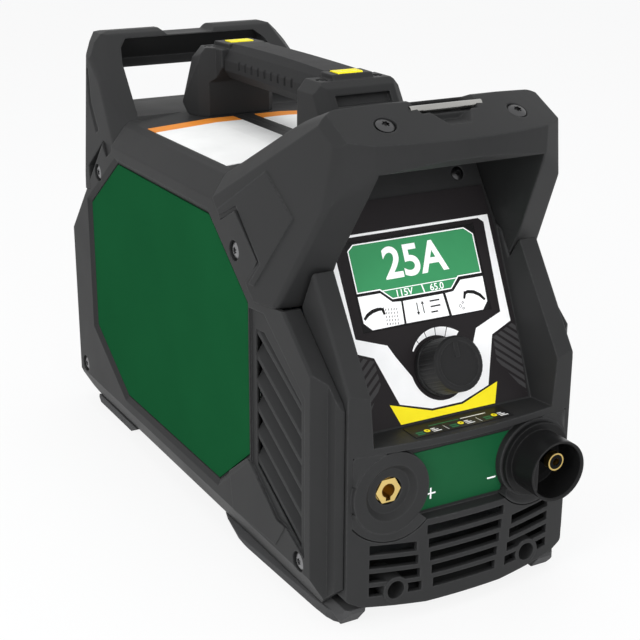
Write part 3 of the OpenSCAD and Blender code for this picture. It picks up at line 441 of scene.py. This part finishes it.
def socket_surround(side, start, end, name):
    """Blends the raised disc of a socket into the curved front, between two angles."""
    form = bmesh.new()
    radii = [DISC_R + 1.3 * i for i in range(5)]
    outline = [(r, DISC_Y) for r in radii] + [(r, SURROUND_BACK_Y) for r in reversed(radii)]
    section = form.faces.new([form.verts.new((r, y, 0)) for r, y in outline])
    bmesh.ops.rotate(form, verts=form.verts, matrix=Matrix.Rotation(math.radians(-start), 3, "Y"))
    bmesh.ops.spin(form, geom=[section, *section.edges, *section.verts], axis=(0, -1, 0),
                   angle=math.radians(end - start), steps=int((end - start) / 4))
    for vert in form.verts:
        reach = math.hypot(vert.co.x, vert.co.z)
        c, s = vert.co.x / reach, vert.co.z / reach
        flank = FLANK_REACH / max(-c, 1e-3)
        out = min(SURROUND_R, flank) if s < 0 else min(flank, LEDGE_REACH / s)
        share = (reach - DISC_R) / 5.2
        r = DISC_R + (max(out, 26.5) - DISC_R) * share
        x, y, z = -SOCKET_X + r * c, vert.co.y, SOCKET_Z + r * s
        if y < -209:
            eased = share * share * (3 - 2 * share)
            y += (FRONT_Y + FRONT_CURVE * x * x - y) * eased
        vert.co = (side * -x * MM, y * MM, z * MM)
    bmesh.ops.triangulate(form, faces=form.faces[:])
    bmesh.ops.recalc_face_normals(form, faces=form.faces)
    mesh = bpy.data.meshes.new(name)
    form.to_mesh(mesh)
    form.free()
    return keep_piece(mesh, name, fascia_shell)


# ------------------------------------------------------------------ printed art


class Face:
    """A flat face that art is laid on: where its origin is, and which way it runs."""

    def __init__(self, origin, across, along):
        self.origin = Vector(origin) * MM
        self.across, self.along = Vector(across), Vector(along)
        self.out = self.across.cross(self.along)

    def at(self, u, v, out=0.0):
        return self.origin + MM * (u * self.across + v * self.along + out * self.out)


LEAN = math.radians(25.35)
control_face = Face((0, -152, 200.7), (1, 0, 0), (0, math.sin(LEAN), math.cos(LEAN)))
strip_face = Face((0, 0, 121.45), (1, 0, 0), (0, 1, 0))
label_face = Face((0, -205, 0), (1, 0, 0), (0, 0, 1))
FILM = 0.8
GLASS = -0.25


def ink(name, shapes, face, level, material, proud=0.06):
    """Closed thin plates for a list of shapes. A shape is its outline, then any holes."""
    form = bmesh.new()
    for shape in shapes:
        edges = []
        for loop in shape:
            corners = [form.verts.new(face.at(u, v, level + proud)) for u, v in loop]
            edges += [form.edges.new((a, b)) for a, b in zip(corners, corners[1:] + corners[:1])]
        bmesh.ops.triangle_fill(form, use_beauty=True, edges=edges)
    bmesh.ops.recalc_face_normals(form, faces=form.faces)
    for plate in form.faces:
        if plate.normal.dot(face.out) < 0:
            plate.normal_flip()
    body = bmesh.ops.extrude_face_region(form, geom=list(form.faces), use_keep_orig=True)
    sunk = [v for v in body["geom"] if isinstance(v, bmesh.types.BMVert)]
    bmesh.ops.translate(form, verts=sunk, vec=-MM * (proud + 0.04) * face.out)
    bmesh.ops.recalc_face_normals(form, faces=form.faces)
    mesh = bpy.data.meshes.new(name)
    form.to_mesh(mesh)
    form.free()
    return keep_piece(mesh, name, material)


def mirrored(half):
    """The half outline from the middle to the middle on +u, closed on -u."""
    return half + [(-u, v) for u, v in reversed(half)]


def arc(middle, radius, start, end, count):
    """Points on an arc, angles in degrees from +u."""
    angles = [math.radians(start + (end - start) * i / count) for i in range(count + 1)]
    return [(middle[0] + radius * math.cos(a), middle[1] + radius * math.sin(a)) for a in angles]


def stroke(points, width):
    """Outline of a line with thickness; width may be one number or one per point."""
    widths = width if isinstance(width, (list, tuple)) else [width] * len(points)
    left, right = [], []
    for i, (point, wide) in enumerate(zip(points, widths)):
        before, after = points[max(i - 1, 0)], points[min(i + 1, len(points) - 1)]
        run = Vector((after[0] - before[0], after[1] - before[1])).normalized()
        left.append((point[0] - run.y * wide / 2, point[1] + run.x * wide / 2))
        right.append((point[0] + run.y * wide / 2, point[1] - run.x * wide / 2))
    return left + right[::-1]


def shrunk(loop, step):
    """The outline moved inwards by step, for convex or nearly convex loops."""
    out = []
    turn = sum(a[0] * b[1] - b[0] * a[1] for a, b in zip(loop, loop[1:] + loop[:1]))
    side = 1 if turn > 0 else -1
    for i, point in enumerate(loop):
        a, b = Vector(loop[i - 1]), Vector(loop[(i + 1) % len(loop)])
        here = Vector(point)
        one, two = (here - a).normalized(), (b - here).normalized()
        n_one, n_two = Vector((-one.y, one.x)) * side, Vector((-two.y, two.x)) * side
        half = (n_one + n_two).normalized()
        out.append(tuple(here + half * step / max(half.dot(n_one), 0.35)))
    return out


def figures(name, text, place, height, face, level, material, heavy=0.0):
    """Plain figures, turned into a closed mesh and laid on the face by their middle."""
    curve = bpy.data.curves.new(name, "FONT")
    curve.body = text
    curve.size = 1.0
    curve.offset = heavy
    curve.extrude = 0.05
    carrier = bpy.data.objects.new(name + "_type", curve)
    bpy.context.scene.collection.objects.link(carrier)
    bpy.context.view_layer.update()
    mesh = bpy.data.meshes.new_from_object(carrier.evaluated_get(
        bpy.context.evaluated_depsgraph_get()))
    bpy.data.objects.remove(carrier)
    bpy.data.curves.remove(curve)
    form = bmesh.new()
    form.from_mesh(mesh)
    bmesh.ops.remove_doubles(form, verts=form.verts, dist=1e-5)
    xs = [v.co.x for v in form.verts]
    ys = [v.co.y for v in form.verts]
    scale = height / (max(ys) - min(ys))
    for vert in form.verts:
        u = place[0] + (vert.co.x - (max(xs) + min(xs)) / 2) * scale
        v = place[1] + (vert.co.y - (max(ys) + min(ys)) / 2) * scale
        vert.co = face.at(u, v, level + (0.06 if vert.co.z > 0 else -0.04))
    bmesh.ops.recalc_face_normals(form, faces=form.faces)
    form.to_mesh(mesh)
    form.free()
    mesh.name = name
    return keep_piece(mesh, name, material)


white_ink = print_ink("ink_white", (0.94, 0.94, 0.94))
yellow_ink = print_ink("ink_yellow", (1.0, 0.84, 0.022))
grey_ink = print_ink("ink_grey", (0.048, 0.047, 0.048))
green_ink = print_ink("ink_green", (0.022, 0.17, 0.075))
black_ink = print_ink("ink_black", (0.012, 0.012, 0.012))
screen_green = print_ink("screen_green", (0.048, 0.278, 0.113), 0.3, 0.08)
screen_white = print_ink("screen_white", (0.88, 0.88, 0.88), 0.3, 0.22)

KNOB = (0, -57.5)


def control_art():
    """Border, scale, chevron and hatching on the overlay film."""
    outer = mirrored([(11, -81.3), (33, -74.7), (43.9, -44), (60, -37.6), (60, 32.4)])
    inner = mirrored(arc(KNOB, 20.4, -90, -7, 14)[1:] + [
        (28.9, -45.9), (33, -38), (53.8, -30.7), (55.9, 27.9), (52.1, 30.9)])
    ink("border_print", [[outer, inner]], control_face, FILM, white_ink)
    steps = []
    for i in range(5):
        start, end = 141 - 19.5 * i, 141 - 19.5 * (i + 1) + 1.4
        low = arc(KNOB, 20.2, start, end, 4)
        far = [21.0 + 1.35 * (i + 0.25 * k) for k in range(5)]
        angles = [math.radians(start + (end - start) * k / 4) for k in range(5)]
        top = [(KNOB[0] + r * math.cos(a), KNOB[1] + r * math.sin(a))
               for r, a in zip(far, angles)]
        steps.append([low + top[::-1]])
    ink("scale_print", steps, control_face, FILM, white_ink)
    chevron = [(-11.3, -82.6), (11.3, -82.6), (40, -73.7), (35, -86.8), (-35, -86.8), (-40, -73.7)]
    ink("chevron_print", [[chevron]], control_face, FILM, yellow_ink)


def hatching():
    """Grey slanting bars either side of the knob, cut to the zone they fill."""
    zone = [(44.2, -45.8), (60.9, -39.2), (63.0, -41.5), (63.2, -52), (60.4, -84.5), (43.2, -60.5)]
    for side in (1, -1):
        form = bmesh.new()
        for i in range(12):
            top = -22.5 - 5.6 * i
            corners = [(40, top), (66, top - 21.4), (66, top - 24.8), (40, top - 3.4)]
            form.faces.new([form.verts.new((side * u, v, 0)) for u, v in corners])
        for (u1, v1), (u2, v2) in zip(zone, zone[1:] + zone[:1]):
            a, b = Vector((side * u1, v1, 0)), Vector((side * u2, v2, 0))
            middle = Vector((side * 54, -54, 0))
            across = Vector((-(b - a).y, (b - a).x, 0)).normalized()
            if (middle - a).dot(across) > 0:
                across = -across
            bmesh.ops.bisect_plane(form, geom=form.verts[:] + form.edges[:] + form.faces[:],
                                   plane_co=a, plane_no=across, clear_outer=True)
        bmesh.ops.remove_doubles(form, verts=form.verts, dist=1e-4)
        loops = [[(v.co.x, v.co.y) for v in bar.verts] for bar in form.faces]
        form.free()
        ink("hatching_print_right" if side > 0 else "hatching_print_left",
            [[loop] for loop in loops], control_face, FILM, grey_ink)


def screen(points):
    """Points of the screen picture, drawn a little inside the glass."""
    return [(u * 0.975, (v - 0.5) * 0.965) for u, v in points]


def screen_art():
    """Current, voltage and pressure fields, and three cells with plain pictograms."""
    field = [(-47.3, 24.3), (-42.8, 28), (41.6, 28), (47.9, 22.9), (47.9, -3.7),
             (29.5, -3.6), (22.6, -10.7), (-22.3, -10.5), (-30.1, -3.5), (-46.9, -3.4)]
    tab = [(-29.1, -4.7), (28.7, -4.8), (21.9, -10.7), (-21.6, -10.5)]
    field = screen(field)
    ink("field_edge", [[field, shrunk(field, 0.75)]], control_face, GLASS, screen_white,
        0.05)
    ink("field_fill", [[shrunk(field, 0.8)]], control_face, GLASS, screen_green,
        0.035)
    rule = screen([(-29.4, -3.9), (28.9, -3.9), (28.9, -4.5), (-29.4, -4.5)])
    split = screen([(0.4, -4.4), (1.4, -4.4), (2.6, -10.3), (1.6, -10.3)])
    ink("field_rules", [[rule], [split]], control_face, GLASS, screen_white,
        0.06)
    cells = [
        [(-46.8, -5.3), (-30.3, -5.4), (-22.9, -12.2), (-16.6, -12.8), (-17.6, -27.3),
         (-41.2, -27.6), (-46.5, -22.4)],
        [(-15.2, -12.8), (15.2, -12.8), (16.6, -27.5), (-16.0, -27.3)],
        [(17.2, -12.8), (23.4, -12.4), (30.6, -5.9), (48.2, -6.0), (47.6, -22.9), (43, -27.9),
         (18.6, -27.8)],
    ]
    cells = [[screen(cell)] for cell in cells]
    ink("cell_fill", cells, control_face, GLASS, screen_white, 0.05)
    figures("current_figures", "25A", (0.2, 11.8), 20.5, control_face, GLASS + 0.02,
            screen_white, heavy=0.022)
    figures("volt_figures", "115V", (-12.0, -7.5), 4.4, control_face, GLASS + 0.02,
            screen_white, heavy=0.012)
    figures("pressure_figures", "65.0", (11.6, -7.5), 4.4, control_face, GLASS + 0.02,
            screen_white, heavy=0.012)
    torch = [(-45.4, -20.2), (-42.4, -17.6), (-38.6, -15.9), (-34.4, -15.2), (-31.6, -15.4)]
    signs = [[screen(stroke(torch, [1.6, 2.2, 2.4, 2.2, 1.9]))],
             [screen(stroke([(-31.2, -14.8), (-30.4, -19.2)], [2.2, 1.5]))]]
    for row in range(5):
        for column in range(5):
            place = (-28.6 + 2.0 * column - 0.25 * row, -15.6 - 2.3 * row - 0.2 * column)
            signs.append([screen(stroke([place, (place[0] - 0.5, place[1] - 1.3)], 0.5))])
    for u, tip, tail in ((-5.6, -23.6, -15.4), (-1.4, -14.8, -23.0)):
        turn = 1 if tip > tail else -1
        signs.append([screen(stroke([(u, tail), (u - 0.1, tip - turn * 1.6)], 0.7))])
        signs.append([screen([(u - 1.3, tip - turn * 2.0), (u + 1.1, tip - turn * 2.0),
                              (u - 0.1, tip)])])
    signs.append([screen(stroke([(4.2, -16.0), (11.6, -16.0)], 1.0))])
    signs.append([screen(stroke([(4.0, -19.6), (11.6, -19.6)], 1.0))])
    signs.append([screen(stroke([(3.8, -23.2), (9.0, -23.2)], 1.0))])
    torch = [(46.0, -21.6), (42.8, -17.8), (38.8, -15.4), (34.4, -14.4), (31.8, -14.9)]
    signs.append([screen(stroke(torch, [1.6, 2.2, 2.4, 2.2, 1.9]))])
    signs.append([screen(stroke([(32.2, -14.0), (30.4, -18.6)], [2.2, 1.5]))])
    for drop in ((28.6, -20.8, 0.8), (26.4, -22.8, 1.1), (28.4, -24.6, 0.9)):
        ring = arc(drop[:2], drop[2], 0, 330, 11)
        signs.append([screen(ring), screen(arc(drop[:2], drop[2] - 0.35, 0, 330, 11))])
    ink("cell_signs", signs, control_face, GLASS + 0.03, black_ink, 0.06)


def strip_art():
    """Three groups of plain bars and dots on the ledge strip."""
    green, white, yellow, dark = [], [], [], []
    for middle in (-24.5, 0.0, 25.0):
        for row in range(2):
            y = -201.9 - 2.4 * row
            green.append([[(middle - 8.2, y), (middle - 3.0, y), (middle - 3.0, y - 1.5),
                           (middle - 8.2, y - 1.5)]])
        for row, wide in enumerate((3.2, 4.6, 5.8)):
            y = -200.8 - 1.9 * row
            white.append([[(middle + 3.0, y), (middle + 3.0 + wide, y),
                           (middle + 3.0 + wide, y - 1.0), (middle + 3.0, y - 1.0)]])
        yellow.append([arc((middle, -202.4), 2.0, 0, 345, 15)])
        dark.append([arc((middle, -202.4), 0.55, 0, 315, 7)])
    for u in (-12.0, 12.4):
        white.append([[(u, -200.4), (u + 0.35, -200.4), (u + 1.1, -206.4), (u + 0.75, -206.4)]])
    green.append([[(-20.0, -196.6), (2.0, -196.6), (2.0, -197.5), (-20.0, -197.5)]])
    white.append([[(3.4, -196.6), (22.0, -196.6), (22.0, -197.5), (3.4, -197.5)]])
    ink("strip_green", green, strip_face, 0, green_ink, 0.05)
    ink("strip_white", white, strip_face, 0, white_ink, 0.05)
    ink("strip_yellow", yellow, strip_face, 0, yellow_ink, 0.05)
    ink("strip_dots", dark, strip_face, 0.03, black_ink, 0.05)


def label_art():
    """Polarity signs beside the two sockets."""
    plus = [(-22.2 + a, 80.1 + b) for a, b in (
        (-0.55, 3.7), (0.55, 3.7), (0.55, 0.55), (3.6, 0.55), (3.6, -0.55), (0.55, -0.55),
        (0.55, -3.7), (-0.55, -3.7), (-0.55, -0.55), (-3.6, -0.55), (-3.6, 0.55), (-0.55, 0.55))]
    minus = [(20.1, 80.7), (26.6, 80.7), (26.6, 79.6), (20.1, 79.6)]
    ink("polarity_print", [[plus], [minus]], label_face, 0, white_ink, 0.05)


soften("front_hood", 0.013, 0.004, 0.018, shoulder)
soften("rear_hoop", 0.009, 0.003, 0.018, clear_of_seam)
soften("left_casing", 0.004, 0.002, 0.03, outside)
soften("right_casing", 0.004, 0.002, 0.03, outside)
soften("front_fascia", 0.004, 0.002, 0.02)
soften("handle_body", 0.004, 0.002, 0.012)
for hand, sign in (("left", -1), ("right", 1)):
    socket_surround(sign, 99, 160, hand + "_surround_top")
    socket_surround(sign, 200, 318, hand + "_surround_foot")
control_art()
hatching()
screen_art()
strip_art()
label_art()

# ------------------------------------------------------------------ studio


def soft_lamp(name, place, target, size, power):
    """A round soft lamp that lights the part but isn't mirrored in it."""
    data = bpy.data.lights.new(name, "AREA")
    data.shape = "DISK"
    data.size = size
    data.energy = power
    lamp = bpy.data.objects.new(name, data)
    lamp.location = place
    lamp.visible_glossy = False
    lamp.rotation_euler = (Vector(target) - Vector(place)).to_track_quat("-Z", "Y").to_euler()
    bpy.context.scene.collection.objects.link(lamp)


def backdrop_rays(tree):
    """One for the rays that show the backdrop: straight, mirrored or through glass."""
    path = tree.nodes.new("ShaderNodeLightPath")
    found = path.outputs["Is Camera Ray"]
    for ray in ("Is Glossy Ray", "Is Transmission Ray"):
        either = tree.nodes.new("ShaderNodeMath")
        either.operation = "MAXIMUM"
        tree.links.new(found, either.inputs[0])
        tree.links.new(path.outputs[ray], either.inputs[1])
        found = either.outputs[0]
    return found


def build_studio():
    """Pale floor, white surroundings and three broad lamps."""
    form = bmesh.new()
    bmesh.ops.create_grid(form, x_segments=4, y_segments=4, size=4.0)
    mesh = bpy.data.meshes.new("studio_floor")
    form.to_mesh(mesh)
    form.free()
    floor = bpy.data.objects.new("studio_floor", mesh)
    floor.location = (0, 0, -0.0004)
    bpy.context.scene.collection.objects.link(floor)
    pale = Finish("floor_paint", (0.86, 0.86, 0.86), 0.6, specular=0.2)
    pale.mottle(3, 0.01)
    material = pale.done()
    tree = material.node_tree
    glow = tree.nodes.new("ShaderNodeEmission")
    glow.inputs["Color"].default_value = (1, 1, 1, 1)
    blend = tree.nodes.new("ShaderNodeMixShader")
    share = tree.nodes.new("ShaderNodeMath")
    share.operation = "MULTIPLY"
    share.inputs[1].default_value = FLOOR_WHITE
    tree.links.new(backdrop_rays(tree), share.inputs[0])
    tree.links.new(share.outputs[0], blend.inputs[0])
    tree.links.new(pale.shader.outputs[0], blend.inputs[1])
    tree.links.new(glow.outputs[0], blend.inputs[2])
    tree.links.new(blend.outputs[0], tree.nodes["Material Output"].inputs["Surface"])
    mesh.materials.append(material)

    world = bpy.data.worlds.new("studio")
    bpy.context.scene.world = world
    world.use_nodes = True
    tree = world.node_tree
    light = tree.nodes["Background"]
    light.inputs["Color"].default_value = (0.95, 0.97, 1.0, 1)
    light.inputs["Strength"].default_value = WORLD_STRENGTH
    white = tree.nodes.new("ShaderNodeBackground")
    white.inputs["Color"].default_value = (1, 1, 1, 1)
    blend = tree.nodes.new("ShaderNodeMixShader")
    tree.links.new(backdrop_rays(tree), blend.inputs[0])
    tree.links.new(light.outputs[0], blend.inputs[1])
    tree.links.new(white.outputs[0], blend.inputs[2])
    tree.links.new(blend.outputs[0], tree.nodes["World Output"].inputs["Surface"])

    middle = (0, -0.02, 0.15)
    soft_lamp("key_lamp", (-1.6, -0.7, 0.95), middle, 1.0, 16.5)
    soft_lamp("top_lamp", (0.1, 0.1, 1.9), middle, 1.5, 11)
    soft_lamp("front_lamp", (-0.15, -1.9, 0.75), middle, 1.2, 15.4)


build_studio()
bpy.context.scene.view_settings.view_transform = "Standard"
